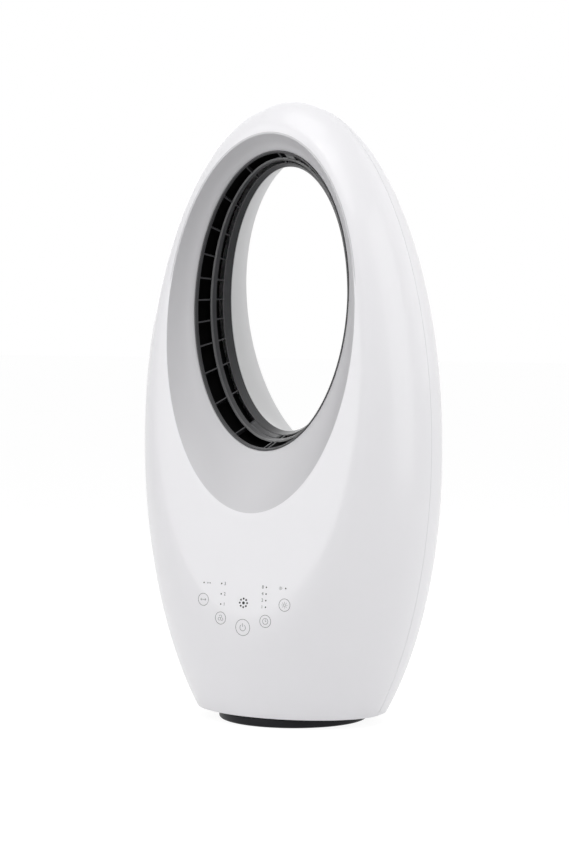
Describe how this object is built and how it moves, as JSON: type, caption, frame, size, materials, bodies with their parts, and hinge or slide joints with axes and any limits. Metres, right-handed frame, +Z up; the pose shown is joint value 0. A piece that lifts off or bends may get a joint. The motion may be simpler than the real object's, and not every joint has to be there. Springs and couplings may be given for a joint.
{
  "type": "bladeless fan",
  "caption": "Egg-shaped bladeless fan with a tall oval air ring, a touch panel and a round foot on which the housing swings.",
  "frame": {"origin": "on the floor, on the swivel axis at the middle of the foot", "axes": "+Z up, -Y out of the front face with the touch panel, +X to the right of a viewer who looks along +Y"},
  "size_m": [0.306, 0.1955, 0.6],
  "materials": {
    "gloss_white": "high gloss white",
    "bezel_grey": "satin light grey",
    "outlet_black": "satin black",
    "foot_black": "semi-gloss black",
    "pad_rubber": "matt",
    "steel": "zinc plated",
    "inner_grey": "moulded grey",
    "gear_nylon": "natural nylon",
    "board_green": "solder mask",
    "part_black": "moulded black",
    "filter_foam": "open foam",
    "lamp_white": "lamp board",
    "alu": "die cast"
  },
  "bodies": {
    "base": {"base_foot": "foot_black", "base_cover": "foot_black", "ballast_plate": "steel", "foot_pads": "pad_rubber", "glide_ring": "gear_nylon", "sun_gear": "gear_nylon", "clamp_washer": "steel", "clamp_ring": "steel"},
    "housing": {"blower_gasket": "pad_rubber", "blower_housing": "part_black", "blower_motor": "alu", "bottom_plate": "inner_grey", "capacitor": "part_black", "control_board": "board_green", "cord_gland": "pad_rubber", "diffuser": "inner_grey", "front_bezel": "bezel_grey", "front_shell": "gloss_white", "inlet_filter": "filter_foam", "ir_receiver": "part_black", "light_strip": "lamp_white", "motor_cap": "inner_grey", "outlet_grille": "outlet_black", "panel_lamps": "lamp_white", "partition_plate": "inner_grey", "rear_bezel": "bezel_grey", "rear_shell": "gloss_white", "relay": "part_black", "shell_screws": "steel", "swing_motor": "steel", "terminal_block": "board_green", "touch_board": "board_green", "touch_springs": "steel", "transformer": "part_black"},
    "swing_pinion": {"swing_pinion": "gear_nylon"},
    "blower": {"impeller": "part_black", "motor_shaft": "steel", "shaft_nut": "steel"}
  },
  "joints": [
    {"name": "swing", "type": "hinge", "parent": "base", "child": "housing", "pos_m": [0, 0, 0.015], "axis": [0, 0, 1], "range_deg": [-40, 40]},
    {"name": "pinion_spin", "type": "hinge", "parent": "housing", "child": "swing_pinion", "pos_m": [0.046, 0, 0.024], "axis": [0, 0, 1], "range_deg": [-150, 150]},
    {"name": "blower_spin", "type": "hinge", "parent": "housing", "child": "blower", "pos_m": [0, -0.008, 0.09], "axis": [0, 0, 1], "continuous": true}
  ],
  "couplings": [
    {"joint": "pinion_spin", "follows": "swing", "ratio": 3.6}
  ]
}
